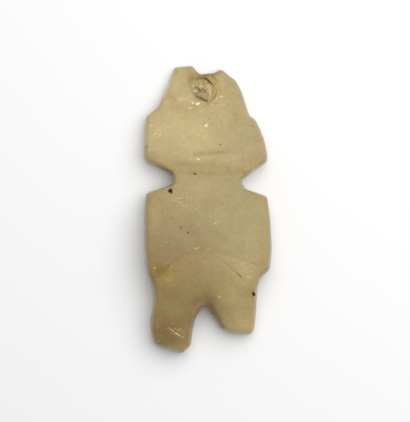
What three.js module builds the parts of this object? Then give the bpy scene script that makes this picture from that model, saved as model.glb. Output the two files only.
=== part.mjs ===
// A small pendant figure carved from one flat slab of pale stone.
//
// The figure lies on its back. X runs to the viewer's right, Y from the feet to the top of the
// head, and Z up from the flat underside to the carved front. All sizes are millimetres.

import * as THREE from 'three';

// Levels along the figure
const EAR_TOP = 35.1;
const HOLE_EDGE = 33.1;
const BROW = 22.6;
const JAW = 11.6;
const NECK = 7.4;
const SHOULDER = 4.0;
const ELBOW = -14.6;
const HIP = -18.2;
const CROTCH = -23.2;
const SHORT_FOOT = -30.35;
const LONG_FOOT = -35.1;

// Half widths
const HEAD_HALF = 15.1;
const NECK_HALF = 8.4;
const BODY_HALF = 15.5;
const HIP_HALF = 12.8;

// Corners of the outline, anticlockwise from the outer corner of the left ear. Each is x, y, the
// radius that rounds the corner in the outline, and how far in and how far down the bevel runs
// that the front has there.
const OUTLINE = [
  [-8.0, EAR_TOP - 0.3, 1.0, 0.5, 0.1],
  [-12.1, BROW + 2.4, 2.2, 0.5, 0.1],
  [-HEAD_HALF, BROW + 0.1, 1.7, 0.5, 0.1],
  [-HEAD_HALF - 0.3, BROW - 2.6, 3.0, 0.6, 0.15],
  [-HEAD_HALF - 0.5, JAW + 2.8, 5.0, 0.6, 0.15],
  [-HEAD_HALF - 0.3, JAW + 0.3, 1.6, 1.0, 0.5],
  [-NECK_HALF - 3.0, NECK + 2.5, 5.0, 1.2, 0.9],
  [-NECK_HALF - 0.3, NECK + 1.2, 1.2, 0.6, 0.5],
  [-NECK_HALF - 0.1, NECK - 1.1, 0.9, 0.4, 0.25],
  [-BODY_HALF + 0.5, SHOULDER, 1.0, 0.5, 0.15],
  [-BODY_HALF, -0.7, 10, 0.7, 0.15],
  [-BODY_HALF + 0.1, ELBOW + 4.1, 8, 0.7, 0.15],
  [-BODY_HALF + 0.5, ELBOW, 3.0, 0.9, 0.25],
  [-HIP_HALF - 0.8, HIP + 0.2, 3.0, 1.2, 0.6],
  [-HIP_HALF - 0.4, CROTCH + 1.4, 8, 1.1, 0.5],
  [-HIP_HALF - 1.4, CROTCH - 5.1, 8, 0.8, 0.25],
  [-HIP_HALF - 0.2, LONG_FOOT + 2.1, 1.8, 0.8, 0.3],
  [-6.2, LONG_FOOT, 0.4, 0.8, 0.3],
  [-4.1, LONG_FOOT + 2.0, 0.5, 0.6, 0.2],
  [-3.6, CROTCH - 6.0, 4.0, 0.7, 0.2],
  [-3.0, CROTCH - 3.4, 3.0, 0.9, 0.3],
  [-0.7, CROTCH + 0.5, 1.0, 2.2, 1.6],
  [0.9, CROTCH - 2.4, 5.0, 2.0, 2.0],
  [3.7, SHORT_FOOT + 1.0, 0.7, 0.7, 0.4],
  [6.4, SHORT_FOOT + 0.05, 1.0, 0.45, 0.2],
  [10.5, SHORT_FOOT - 0.05, 0.4, 0.45, 0.2],
  [11.3, SHORT_FOOT + 1.0, 0.6, 0.5, 0.2],
  [11.8, SHORT_FOOT + 4.2, 8, 0.6, 0.15],
  [HIP_HALF - 0.7, HIP - 1.3, 2.0, 0.6, 0.15],
  [HIP_HALF, HIP + 1.4, 2.0, 0.7, 0.2],
  [BODY_HALF - 0.3, ELBOW + 0.1, 1.2, 1.0, 0.2],
  [BODY_HALF + 0.2, ELBOW + 4.6, 10, 1.3, 0.25],
  [BODY_HALF - 0.2, -2.2, 15, 1.3, 0.25],
  [BODY_HALF - 1.0, SHOULDER - 0.7, 0.6, 0.7, 0.2],
  [NECK_HALF + 0.6, NECK - 2.3, 1.5, 0.5, 0.2],
  [NECK_HALF - 0.3, NECK - 0.3, 0.9, 0.4, 0.1],
  [HEAD_HALF - 0.6, JAW, 0.7, 0.4, 0.1],
  [HEAD_HALF - 0.5, JAW + 1.8, 3.0, 0.6, 0.15],
  [HEAD_HALF - 1.3, JAW + 5.5, 5.0, 0.6, 0.15],
  [HEAD_HALF - 2.4, BROW - 2.7, 5.0, 0.6, 0.15],
  [HEAD_HALF - 3.4, BROW - 0.6, 1.2, 0.6, 0.15],
  [10.2, BROW + 0.3, 0.6, 0.6, 0.15],
  [8.2, BROW + 6.5, 5.0, 0.6, 0.15],
  [6.9, EAR_TOP - 3.6, 1.0, 0.6, 0.15],
  [3.3, EAR_TOP - 0.7, 1.1, 0.6, 0.15],
  [1.6, HOLE_EDGE + 0.3, 0.8, 0.6, 0.2],
  [-2.0, HOLE_EDGE - 0.1, 0.7, 0.6, 0.2],
  [-3.7, EAR_TOP, 0.7, 0.6, 0.15],
];

// Thickness from the ears down: level, height of the front along the middle, and how much lower
// it is at the sides
const MIDLINE = [
  [EAR_TOP + 1, 2.3, 0.5],
  [29, 3.7, 0.9],
  [BROW, 5.4, 1.2],
  [JAW + 4, 6.4, 1.4],
  [JAW + 0.8, 6.9, 1.4],
  [JAW - 1.2, 6.75, 1.2],
  [NECK + 0.8, 6.5, 1.0],
  [NECK - 3, 7.0, 0.9],
  [SHOULDER - 4, 8.4, 0.9],
  [SHOULDER - 8, 9.2, 0.9],
  [-9, 9.6, 0.9],
  [ELBOW, 9.4, 0.9],
  [HIP - 2, 8.6, 0.9],
  [CROTCH - 4, 7.2, 0.9],
  [LONG_FOOT - 1, 5.2, 0.9],
];
const SHORT_FOOT_TAPER = 1.8; // how much thinner the shorter leg grows towards its broken foot

// The long edges
const LEAN = 0.14; // how far the upper and lower edges of the side wall stand in from its middle
const FRONT_ROUND = 0.4; // how far the small rounding along the front's rim reaches in
const FRONT_FALL = 0.5; // and down
const BACK_ROUND = 1.7; // how far the underside's rounding reaches in
const BACK_RISE = 0.2; // and up, as a part of the thickness
const GIRDLE = 0.45; // height of the widest line, as a part of the thickness

// Grooves worked into the front: the points they pass, half width and depth
const MOUTH = { points: [[-3.4, 13.6], [5.1, 13.7]], half: 0.5, depth: 0.08 };
const FOREARMS_FOOT = {
  points: [
    [-12.3, -15.4], [-6.7, -12.3], [-2.8, -10.8], [-0.1, -10.3], [3.0, -11.1], [6.0, -13.9], [8.8, -17.4],
  ],
  half: 0.9,
  depth: 0.06,
};
const RIGHT_FOREARM_TOP = { points: [[2.4, -10.5], [8.0, -12.1], [13.6, -14.2]], half: 0.8, depth: 0.06 };
const GROOVES = [MOUTH, FOREARMS_FOOT, RIGHT_FOREARM_TOP];

// Bores for a cord, drilled from both faces and still packed with earth: each narrows with depth,
// and the front one slants down towards the lower left.
const FRONT_BORE = {
  x: -0.8, y: 29.1, mouth: 3.05, depth: 1.3, narrowing: 0.8, slantX: -0.6, slantY: -0.45,
};
const BACK_BORE = {
  x: -1.6, y: 28.4, mouth: 2.3, depth: 1.4, narrowing: 0.6, slantX: 0, slantY: 0,
};

// Facet sizes
const SPACING = 1.25; // along the outline
const ARC_STEP = THREE.MathUtils.degToRad(18);
const SHORTEST = 0.35; // shortest step round a small corner
const EDGE_RINGS = [0.3, 0.7, 1.2, 1.9]; // distances in from the outline
const FRONT_GRID = 1.35;
const BACK_GRID = 2.4;
const BORE_SIDES = 20;
const BORE_LEVELS = [0, 0.35, 0.7, 1]; // parts of a bore's depth that have a ring of points
const GRID_ROOM = 0.6; // how near a grid point may come to another, in steps of the grid
const GRID_MARGIN = 0.3; // and how far it keeps from the last edge ring

// How near two plan points may come, for the points of the bores, the edge rings and the grooves
const BORE_ROOM = 0.15;
const RING_ROOM = 0.36;
const GROOVE_ROOM = 0.45;

// Samples of the outline, with its corners rounded: x, y, and the bevel's reach and fall.
function sampleOutline() {
  const samples = [];
  OUTLINE.forEach(([x, y, radius, reach, fall], i) => {
    const corner = new THREE.Vector2(x, y);
    const back = new THREE.Vector2(...OUTLINE.at(i - 1)).sub(corner);
    const on = new THREE.Vector2(...OUTLINE[(i + 1) % OUTLINE.length]).sub(corner);
    const turn = Math.PI - back.angleTo(on);
    const longest = 0.48 * Math.min(back.length(), on.length()); // leaves room for the next corner
    const cut = Math.min(radius * Math.tan(turn / 2), longest);
    const start = corner.clone().add(back.setLength(cut));
    const end = corner.clone().add(on.setLength(cut));
    const steps = Math.max(1, Math.ceil(Math.min(turn / ARC_STEP, 2 * cut / SHORTEST)));
    for (const p of new THREE.QuadraticBezierCurve(start, corner, end).getPoints(steps)) {
      samples.push(new THREE.Vector4(p.x, p.y, reach, fall));
    }
  });
  return samples.flatMap((p, i) => {
    const next = samples[(i + 1) % samples.length];
    const gap = Math.hypot(next.x - p.x, next.y - p.y);
    if (gap < SHORTEST / 3) return []; // two corners that all but meet share one sample
    const steps = Math.ceil(gap / SPACING);
    return Array.from({ length: steps }, (_, k) => p.clone().lerp(next, k / steps));
  });
}

const outline = sampleOutline();

// Nearest place on the outline: how far it is, and the reach and fall of the bevel there.
function nearestEdge(x, y) {
  let best = { distance: Infinity };
  outline.forEach((a, i) => {
    const b = outline[(i + 1) % outline.length];
    const [runX, runY] = [b.x - a.x, b.y - a.y];
    const along = ((x - a.x) * runX + (y - a.y) * runY) / (runX ** 2 + runY ** 2);
    const foot = a.clone().lerp(b, THREE.MathUtils.clamp(along, 0, 1));
    const distance = Math.hypot(x - foot.x, y - foot.y);
    if (distance < best.distance) best = { distance, reach: foot.z, fall: foot.w };
  });
  return best;
}

function isInside(x, y) {
  let inside = false;
  outline.forEach((a, i) => {
    const b = outline[(i + 1) % outline.length];
    if (a.y > y !== b.y > y && x < a.x + ((b.x - a.x) * (y - a.y)) / (b.y - a.y)) inside = !inside;
  });
  return inside;
}

// Outline sample moved straight in from the edge.
function inset(i, distance) {
  const before = outline.at(i - 1);
  const after = outline[(i + 1) % outline.length];
  const run = Math.hypot(after.x - before.x, after.y - before.y);
  const x = outline[i].x - ((after.y - before.y) / run) * distance;
  const y = outline[i].y + ((after.x - before.x) / run) * distance;
  return [x, y];
}

// Smooth curve through one column of the midline's table, at a level.
function alongMidline(level, column) {
  const i = Math.max(1, MIDLINE.findIndex(([y]) => y <= level));
  const knot = (k) => {
    const row = MIDLINE[THREE.MathUtils.clamp(k, 0, MIDLINE.length - 1)];
    return [row[0], row[column]];
  };
  const slope = (k) => (knot(k + 1)[1] - knot(k - 1)[1]) / (knot(k + 1)[0] - knot(k - 1)[0]);
  const [[y0, z0], [y1, z1]] = [knot(i - 1), knot(i)];
  const span = y1 - y0;
  const t = THREE.MathUtils.clamp((level - y0) / span, 0, 1);
  const [ease, u] = [t * t * (3 - 2 * t), 1 - t];
  return z0 + (z1 - z0) * ease + span * t * u * (u * slope(i - 1) - t * slope(i));
}

// How deep a groove is at a point: a rounded channel that runs out at its ends.
function grooveDepth({ points, half, depth }, x, y) {
  let deepest = 0;
  for (let i = 1; i < points.length; i++) {
    const [[ax, ay], [bx, by]] = [points[i - 1], points[i]];
    const [runX, runY] = [bx - ax, by - ay];
    const along = ((x - ax) * runX + (y - ay) * runY) / (runX ** 2 + runY ** 2);
    const t = THREE.MathUtils.clamp(along, 0, 1);
    const off = Math.hypot(x - ax - t * runX, y - ay - t * runY) / half;
    deepest = Math.max(deepest, depth * Math.max(0, 1 - off * off));
  }
  return deepest;
}

// How deep a bore is at a point: an oblique cone with a flat floor. Every level section of the
// cone is a circle, so the depth is the smaller root of a quadratic.
function boreDepth({ x: mouthX, y: mouthY, mouth, depth, narrowing, slantX, slantY }, x, y) {
  const [qx, qy] = [x - mouthX, y - mouthY];
  const c = qx * qx + qy * qy - mouth * mouth;
  if (c >= 0) return 0;
  const a = slantX ** 2 + slantY ** 2 - narrowing ** 2;
  const b = qx * slantX + qy * slantY - mouth * narrowing;
  return Math.min(depth, (b + Math.sqrt(b * b - a * c)) / a);
}

// Rounding of an edge: 0 at its inner end, 1 at the side wall, as a quarter of an ellipse.
function quarterRound(distance, reach) {
  const t = THREE.MathUtils.clamp((distance - LEAN) / (reach - LEAN), 0, 1);
  return 1 - Math.sqrt(1 - (1 - t) ** 2);
}

// Height of the front without its carving and its edges.
function bodyHeight(x, y) {
  const down = x > 0 ? THREE.MathUtils.clamp((CROTCH - y) / (CROTCH - SHORT_FOOT), 0, 1) : 0;
  const crown = alongMidline(y, 2) * (x / BODY_HALF) ** 2;
  return alongMidline(y, 1) - crown - SHORT_FOOT_TAPER * down;
}

function frontHeight(x, y) {
  const { distance, reach, fall } = nearestEdge(x, y);
  const bevel = fall * Math.max(0, 1 - distance / reach);
  const rounding = FRONT_FALL * quarterRound(distance, FRONT_ROUND);
  const carving = Math.max(...GROOVES.map((groove) => grooveDepth(groove, x, y)));
  const face = bodyHeight(x, y) - bevel - rounding - carving;
  const depth = boreDepth(FRONT_BORE, x, y);
  return depth > 0 ? Math.min(face, bodyHeight(FRONT_BORE.x, FRONT_BORE.y) - depth) : face;
}

function backHeight(x, y) {
  const rise = BACK_RISE * bodyHeight(x, y);
  const rounding = rise * quarterRound(nearestEdge(x, y).distance, BACK_ROUND);
  return Math.max(rounding, boreDepth(BACK_BORE, x, y));
}

// Plan points on the rings of a bore: its mouth, its wall and its floor.
function borePoints({ x, y, mouth, depth, narrowing, slantX, slantY }) {
  const floorRadius = mouth - narrowing * depth;
  const rings = BORE_LEVELS.map((part) => [part * depth, mouth - narrowing * part * depth]);
  rings.push([depth, floorRadius / 2]);
  const points = [[x + slantX * depth, y + slantY * depth]];
  for (const [down, radius] of rings) {
    const [middleX, middleY] = [x + slantX * down, y + slantY * down];
    for (let i = 0; i < BORE_SIDES; i++) {
      const angle = (2 * Math.PI * i) / BORE_SIDES;
      points.push([middleX + radius * Math.cos(angle), middleY + radius * Math.sin(angle)]);
    }
  }
  return points;
}

// Plan points along a groove: its middle and both of its sides.
function groovePoints({ points, half }) {
  return points.slice(1).flatMap(([bx, by], k) => {
    const [ax, ay] = points[k];
    const length = Math.hypot(bx - ax, by - ay);
    const steps = Math.ceil(length / SPACING);
    const [sideX, sideY] = [(-(by - ay) / length) * half, ((bx - ax) / length) * half];
    return Array.from({ length: steps }, (_, i) => i / steps).flatMap((t) =>
      [-1, 0, 1].map((side) => [ax + t * (bx - ax) + side * sideX, ay + t * (by - ay) + side * sideY]));
  });
}

// All plan points of a face: the outline first, then what each feature needs, then an even grid.
function planPoints(bore, grooves, grid) {
  const points = outline.map(({ x, y }) => [x, y]);
  const add = (x, y, room, edgeRoom) => {
    const crowded = points.some(([px, py]) => Math.hypot(px - x, py - y) < room);
    if (!crowded && isInside(x, y) && nearestEdge(x, y).distance > edgeRoom) points.push([x, y]);
  };
  borePoints(bore).forEach(([x, y]) => add(x, y, BORE_ROOM, EDGE_RINGS[0] / 2));
  for (const distance of EDGE_RINGS) {
    const nearly = 0.97 * distance; // a ring's points may come a little nearer on a bend
    outline.forEach((_, i) => add(...inset(i, distance), RING_ROOM, nearly));
  }
  grooves.flatMap(groovePoints).forEach(([x, y]) => add(x, y, GROOVE_ROOM, EDGE_RINGS.at(-1)));
  const rise = (grid * Math.sqrt(3)) / 2;
  const [room, edgeRoom] = [GRID_ROOM * grid, EDGE_RINGS.at(-1) + GRID_MARGIN * grid];
  for (let row = 0; row * rise < EAR_TOP - LONG_FOOT; row++) {
    for (let column = 0; column * grid < 2 * BODY_HALF; column++) {
      const wobble = 0.02 * Math.sin(7 * row + 13 * column); // keeps four points off one circle
      const x = -BODY_HALF + (column + (row % 2) / 2) * grid + wobble;
      add(x, LONG_FOOT + row * rise, room, edgeRoom);
    }
  }
  return points;
}

// Delaunay triangles of plan points, added one at a time, without those outside the outline.
function triangulate(points) {
  const far = 1000; // corners of a first triangle round all the points, a little off square
  const all = [...points, [-far, 1 - far], [far + 1, -far], [3, far + 2]];
  const withCircle = (a, b, c) => {
    const [[ax, ay], [bx, by], [cx, cy]] = [all[a], all[b], all[c]];
    const [ux, uy, vx, vy] = [bx - ax, by - ay, cx - ax, cy - ay];
    const [uu, vv, area] = [ux * ux + uy * uy, vx * vx + vy * vy, 2 * (ux * vy - uy * vx)];
    const [dx, dy] = [(vy * uu - uy * vv) / area, (ux * vv - vx * uu) / area];
    return { corners: [a, b, c], x: ax + dx, y: ay + dy, squared: dx * dx + dy * dy };
  };
  let triangles = [withCircle(points.length, points.length + 1, points.length + 2)];
  points.forEach(([x, y], i) => {
    const rim = new Map();
    triangles = triangles.filter((triangle) => {
      if ((x - triangle.x) ** 2 + (y - triangle.y) ** 2 > triangle.squared) return true;
      triangle.corners.forEach((a, k) => {
        const b = triangle.corners[(k + 1) % 3];
        if (!rim.delete(`${b} ${a}`)) rim.set(`${a} ${b}`, [a, b]);
      });
      return false;
    });
    for (const [a, b] of rim.values()) triangles.push(withCircle(a, b, i));
  });
  return triangles.map(({ corners }) => corners).filter((corners) => {
    if (corners.some((k) => k >= points.length)) return false;
    const middle = (axis) => corners.reduce((sum, k) => sum + points[k][axis], 0) / 3;
    return isInside(middle(0), middle(1));
  });
}

// One face as vertices and triangles. Its first vertices are the edge of the side wall.
function makeFace(plan, height) {
  const vertices = plan.map(([x, y], i) => {
    const [wallX, wallY] = i < outline.length ? inset(i, LEAN) : [x, y];
    return [wallX, wallY, height(x, y)];
  });
  return { vertices, triangles: triangulate(plan) };
}

function figurineGeometry() {
  const front = makeFace(planPoints(FRONT_BORE, GROOVES, FRONT_GRID), frontHeight);
  const back = makeFace(planPoints(BACK_BORE, [], BACK_GRID), backHeight);
  const girdle = outline.map(({ x, y }) => [x, y, GIRDLE * bodyHeight(x, y)]);
  const girdleStart = front.vertices.length;
  const backStart = girdleStart + girdle.length;
  const triangles = [...front.triangles];
  for (const [a, b, c] of back.triangles) triangles.push([backStart + a, backStart + c, backStart + b]);
  outline.forEach((_, i) => {
    const next = (i + 1) % outline.length;
    for (const [upper, lower] of [[0, girdleStart], [girdleStart, backStart]]) {
      triangles.push([upper + i, lower + i, lower + next], [upper + i, lower + next, upper + next]);
    }
  });
  const geometry = new THREE.BufferGeometry();
  const positions = [...front.vertices, ...girdle, ...back.vertices].flat();
  geometry.setAttribute('position', new THREE.Float32BufferAttribute(positions, 3));
  geometry.setIndex(triangles.flat());
  geometry.computeBoundingBox();
  const centre = geometry.boundingBox.getCenter(new THREE.Vector3());
  geometry.translate(-centre.x, -centre.y, -geometry.boundingBox.min.z);
  geometry.computeVertexNormals();
  return geometry;
}

function stone() {
  return new THREE.MeshStandardMaterial({ color: 0xb0a078, roughness: 0.45, metalness: 0 });
}

const figurine = new THREE.Mesh(figurineGeometry(), stone());
figurine.name = 'figurine';

const model = new THREE.Group();
model.add(figurine);

export default model;
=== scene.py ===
"""A small pendant figure carved from pale stone, lying on its back on a white table."""

import math

import bmesh
import bpy
import numpy as np
from mathutils import Matrix, Vector, noise


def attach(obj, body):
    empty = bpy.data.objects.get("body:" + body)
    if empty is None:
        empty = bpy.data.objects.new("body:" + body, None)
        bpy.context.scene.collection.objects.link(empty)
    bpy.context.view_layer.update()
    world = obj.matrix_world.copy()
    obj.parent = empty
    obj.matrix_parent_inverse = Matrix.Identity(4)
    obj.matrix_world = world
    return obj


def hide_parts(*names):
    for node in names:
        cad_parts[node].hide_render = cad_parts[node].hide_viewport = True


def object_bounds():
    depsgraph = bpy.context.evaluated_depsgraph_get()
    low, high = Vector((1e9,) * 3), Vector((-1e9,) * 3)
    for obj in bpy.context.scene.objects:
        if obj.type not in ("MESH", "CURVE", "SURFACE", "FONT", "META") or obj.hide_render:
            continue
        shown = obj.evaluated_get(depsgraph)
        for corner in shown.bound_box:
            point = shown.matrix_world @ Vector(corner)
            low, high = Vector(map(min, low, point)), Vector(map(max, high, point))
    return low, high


MM = 0.001
IN_PLAN = (1, 1, 0)  # times a place, this leaves out its height

# The photograph's view: straight down, with this much of the table to each pixel
PIXEL = 0.2443 * MM
WIDTH, HEIGHT = 410, 422
AIM = Vector((-0.68 * MM, -0.35 * MM, 0))  # the place in the middle of the picture
CAMERA_HEIGHT = 1.5
CAMERA_REACH = 10  # the farthest that it sees
SENSOR = 0.036

# The light: where it stands from the figure, how wide it looks from there, and its strength
LIGHT_TURN = math.radians(50)  # from X towards Y
LIGHT_RISE = math.radians(62)  # above the table
LIGHT_WIDTH = math.radians(72)
LIGHT_DISTANCE = 0.45
LIGHT_POWER = 2.5
ROOM_LIGHT = 0.35

# The table
TABLE_TONE = (0.90, 0.90, 0.905)
TABLE_ROUGHNESS = 0.7
TABLE_SIZE = 3

# The fine mesh, in millimetres
WELD = 0.001  # corners of the CAD surface that are nearer than this are one corner
GRAIN = 0.28  # size of the even mesh's faces
MARK_ROOM = 0.3  # its faces are split this far round every small mark
FINE_ROOM = 0.1  # and once more this far round the finest marks
FINE_HALF = 0.24  # a mark narrower than this is one of the finest
FINE_DEPTH = 0.05  # and so is a mark deeper than this
BOX_MARGIN = 0.004  # how far it stays inside the CAD box

# Smoothing of the mesh: a point moves towards its neighbours, and then away so that nothing shrinks
SMOOTH_STEP = 0.5
SWELL_STEP = -0.52
EVEN_ROUNDS = 10
SPLIT_ROUNDS = 4

# What tells the sides apart: their height, and how far they face up, from 1 to -1 for straight down
FRONT_LEVEL = 1.4
FRONT_FACING = -0.2  # the carved front is above that level, and faces up more than this
BACK_FACING = -0.5  # the back is below it, and faces up less than this
CARVED_FACING = (0.2, 0.6)  # the relief fades in between these
BORDER_FACING = (0.97, 0.6)  # and so do the washes of the borders: dust and wear, with painted shade, sheen and light
WALL_FACING = (0.75, 0.35)  # the same for the marks of the string, facing either way
GROUND_FACING = (-0.6, -0.9)  # and for those of grinding

# Places on the figure, in millimetres: X to the viewer's right, Y towards the top of the head
BORE = (-0.93, 29.08)
BORE_LONG = 3.4  # half the length of its worn mouth, from the upper left to the lower right
BORE_SHORT = 2.75  # and half its width
BACK_BORE = (-1.65, 28.4)
BACK_MOUTH = 2.3
BACK_FILL = 0.55  # how far in from the back the earth in it lies
BROW_LEVEL = 23.6
MOUTH = [(-3.4, 13.4), (-0.5, 13.5), (2.5, 13.9), (5.6, 14.1)]
MOUTH_STROKES = 15  # the short dark strokes, painted shade in its groove with dirt, that make up its line
MOUTH_STEP = 0.6
MOUTH_STROKE = 0.3  # half the height of a stroke, and half its width
MOUTH_DARK = 0.20  # how dark the strokes are
MOUTH_CHANGE = 0.35  # how much darker and fainter than that they get
MOUTH_RHYTHM = 1.7  # how often in a millimetre
MOUTH_FAINTEST = 0.05
MOUTH_SHIFT = 4
CHIN_CREASE = [(-4.5, 8.8), (0.0, 8.6), (6.0, 8.6), (9.2, 9.1)]
LEFT_ARM_FOOT = [(-12.2, -15.2), (-9.6, -13.8), (-7.8, -12.1), (-6.1, -11.0), (-3.8, -10.5)]
RIGHT_ARM_FOOT = [(-0.2, -10.4), (2.6, -11.6), (5.3, -14.0), (7.6, -16.1), (8.6, -17.4)]
RIGHT_ARM_TOP = [(3.0, -10.6), (7.9, -12.0), (10.6, -13.1), (13.2, -14.2)]
SHOULDER_RIM = [(9.2, 4.7), (13.8, 3.0), (14.6, 0.0)]
ELBOW_HOLLOW = (-12.0, -15.4)
CROTCH = (-0.6, -22.8)
CROTCH_VALLEY = [(0.4, -19.6), CROTCH, (-0.6, -26.0)]

# The soft carving: its depth, and how far it reaches on either side of its line
BROW_STEP = 0.08  # how far the face below it stands forward
BROW_HALF = 0.9
BROW_FADE = (14.0, 19.0)  # between these levels it sinks back
CREASE_DEPTH = 0.02
CREASE_HALF = 0.6
ARM_DEPTH = 0.015
ARM_HALF = 0.5
ELBOW_DEPTH = 0.22
ELBOW_HALF = 2.6
VALLEY_DEPTH = 0.45
VALLEY_HALF = 2.6
VALLEY_LEAD = 1.0  # how far above the first point of its line it starts

# The worn skin: size and height of its waves, and how uneven the borders of the marks on it are
WAVE_SIZE = 5.0
WAVE_HEIGHT = 0.05
RIPPLE_SIZE = 0.9
RIPPLE_HEIGHT = 0.015
RAGGED_SIZE = 0.35
RAGGED_SHARE = 0.5

# Grooves that a string left down the walls it cut, and faint streaks on the ground back
STRING_SIZE = 0.45
STRING_DEPTH = 0.07
STRING_STRETCH = (1, 1, 0.1)  # they change much less with height, so they run up and down
STREAK_SIZE = 0.6
STREAK_DEPTH = 0.02
STREAK_ALONG = (0.12, 0.02)  # what X and Y count for along the streaks, which change little there
STREAK_ACROSS = (0.8, -0.6)  # and what they count for across them

# The earth packed into the front bore, and what it shares with the earth in the back one
FILL_DEPTH = 0.38  # below the stone, in the middle
FILL_SLOPE = 0.15  # how much deeper it is at the lower left rim
FILL_FALL = (-0.8, -0.6)  # towards the lower left
WALL_STEEP = 0.4  # width of the wall round it at the upper right
WALL_GENTLE = 1.5  # width of the wall on the other side
STEEP_SIDE = (0.4, 0.92)
STEEP_TURN = (0.75, -0.1)  # how far a direction agrees with that side where the wall turns gentle
FILL_LUMP = 0.12  # height of the lumps in the earth of both bores
FILL_LUMP_SIZE = 0.7
BACK_LUMP_SIZE = 0.6
RIM_START = 0.3  # a ring of stone that starts this far outside the mouth shows how the front runs on
RIM_END = 1.3
RIM_LEVEL = 0.9  # only where it is this level
FILL_BLEND = 1.0  # width of the ring in which the earth's surface meets the front
NEAREST = 0.01  # a distance from the middle counts as at least this

# How far from the bore two things end, in the measure of bore_distance
FILL_REACH = 1.15  # the earth, where the front is steep
EDGE_WASH_CLEARANCE = 1.2  # the clear ring that the border washes of wear, dust, painted shade and painted light leave


def linear(red, green, blue):
    """Screen colour, each part from 0 to 255, as light, by the usual curve of a screen."""
    parts = np.array([red, green, blue]) / 255
    return np.where(parts < 0.04045, parts / 12.92, ((parts + 0.055) / 1.055) ** 2.4)


# Colours of the stone
HONEY = linear(157, 137, 83)
CREAM = linear(197, 176, 122)
OLIVE = linear(168, 153, 102)
TAN = linear(147, 122, 75)
BROWN = linear(128, 99, 55)
RUST = linear(170, 132, 78)
ROSE = linear(192, 164, 122)
PALE = linear(206, 188, 134)
# Grey of dust; on the steep sides it also stands for painted sheen and painted cool shade
DUST_AND_SHEEN = linear(176, 168, 152)
# Painted light, for rims that would otherwise read as shaded
PAINTED_RIM_LIGHT = linear(236, 222, 186)
BRUISE = linear(246, 226, 172)

# Colours of the earth on it
EARTH = linear(40, 24, 4)
OCHRE = linear(112, 82, 22)
SOIL = linear(120, 94, 24)
MOSS = linear(108, 104, 40)
MUD = linear(112, 98, 54)
SAGE = linear(160, 152, 96)
GOLD = linear(182, 152, 68)
MUSTARD = linear(134, 114, 6)

# Open pits with earth in them: the points each runs through, half width, depth and how dark
PITS = [
    ([(-9.1, 4.5)], 0.70, 0.90, 1.00),
    ([(-8.2, 3.65)], 0.22, 0.03, 0.20),
    ([(11.1, -20.4), (11.2, -20.8)], 0.46, 0.70, 1.00),
    ([(-3.4, 8.7), (-2.9, 8.6)], 0.26, 0.12, 0.75),
    ([(-2.1, 8.7)], 0.20, 0.02, 0.30),
    ([(3.0, 15.8)], 0.34, 0.10, 0.65),
    ([(0.5, 22.2)], 0.30, 0.08, 0.45),
    ([(-6.5, -4.3), (-6.7, -4.4)], 0.46, 0.08, 0.40),
    ([(-4.8, -5.6)], 0.34, 0.12, 0.75),
    ([(-8.8, -2.1)], 0.40, 0.04, 0.28),
    ([(6.8, -0.2)], 0.30, 0.05, 0.30),
    ([(11.0, 20.2)], 0.30, 0.06, 0.35),
    ([(-15.0, 15.2)], 0.34, 0.10, 0.45),
    ([(7.3, -15.7), (8.0, -16.4)], 0.24, 0.06, 0.45),
    ([(-9.9, -15.8)], 0.26, 0.04, 0.40),
    ([(-3.0, -18.6), (-2.8, -18.9)], 0.28, 0.02, 0.20),
]

# Small pits in the back: place, half width and depth
BACK_PITS = [
    ((6.2, 18.4), 0.5, 0.20),
    ((-9.6, 14.6), 0.4, 0.15),
    ((3.4, -4.8), 0.6, 0.25),
    ((4.3, -5.5), 0.4, 0.15),
    ((-7.9, -9.1), 0.4, 0.20),
    ((-8.6, -27.3), 0.5, 0.20),
    ((9.5, 0.7), 0.4, 0.12),
]
BACK_PIT_DARK = 0.8  # how dark the earth in them is

# The earth in the back bore: how dark it is, and where its border fades, beyond the mouth and within
BACK_SOIL = 0.75
BACK_SOIL_OUTSIDE = 0.3
BACK_SOIL_INSIDE = 0.4

# Pale flecks where the polish is bruised: points, half width and strength
FLECKS = [
    ([(-2.7, 25.7), (-2.1, 25.9)], 0.34, 1.00),
    ([(-3.6, 26.0)], 0.36, 0.60),
    ([(-4.6, 24.7), (-4.0, 24.7)], 0.26, 0.42),
    ([(-7.2, 27.2), (-7.2, 26.5)], 0.16, 0.32),
    ([(-6.7, 27.2), (-6.6, 26.5)], 0.16, 0.32),
    ([(-6.2, 27.2), (-6.2, 26.6)], 0.16, 0.30),
    ([(-5.5, 26.9)], 0.24, 0.30),
    ([(2.3, 27.3)], 0.28, 0.30),
    ([(3.1, 27.4), (3.3, 27.6)], 0.34, 0.36),
    ([(4.0, 25.7)], 0.26, 0.30),
    ([(3.4, 25.4)], 0.26, 0.30),
    ([(0.9, 25.4)], 0.26, 0.25),
    ([(-2.0, 23.8), (-1.5, 23.8)], 0.20, 0.20),
    ([(-0.6, 20.4), (-0.3, 20.5)], 0.40, 0.80),
    ([(-1.7, 20.5)], 0.26, 0.30),
    ([(-0.8, 17.5)], 0.36, 0.30),
    ([(-13.8, 20.5)], 0.34, 0.42),
    ([(-11.6, 18.3), (-11.6, 18.1)], 0.26, 0.42),
    ([(-14.1, 14.3)], 0.30, 0.30),
    ([(-12.8, 18.5)], 0.30, 0.25),
    ([(-11.8, 19.3)], 0.26, 0.25),
    ([(-2.4, 12.3), (-2.1, 12.2)], 0.34, 0.80),
    ([(-4.3, 12.2), (-3.9, 12.2)], 0.20, 0.28),
    ([(1.8, -3.4)], 0.28, 0.35),
    ([(-2.3, -3.6)], 0.24, 0.28),
    ([(-3.2, -9.3), (-2.7, -9.6), (-2.1, -9.1)], 0.18, 0.32),
    ([(0.1, -9.6)], 0.26, 0.22),
    ([(-10.4, -7.9), (-9.7, -7.9)], 0.16, 0.15),
    ([(-12.9, -14.2)], 0.30, 0.50),
    ([(-8.8, -13.7)], 0.26, 0.25),
    ([(2.7, -21.2)], 0.32, 0.50),
    ([(-11.8, -31.9)], 0.26, 0.28),
    ([(10.0, -16.4)], 0.50, 0.18),
]

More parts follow.
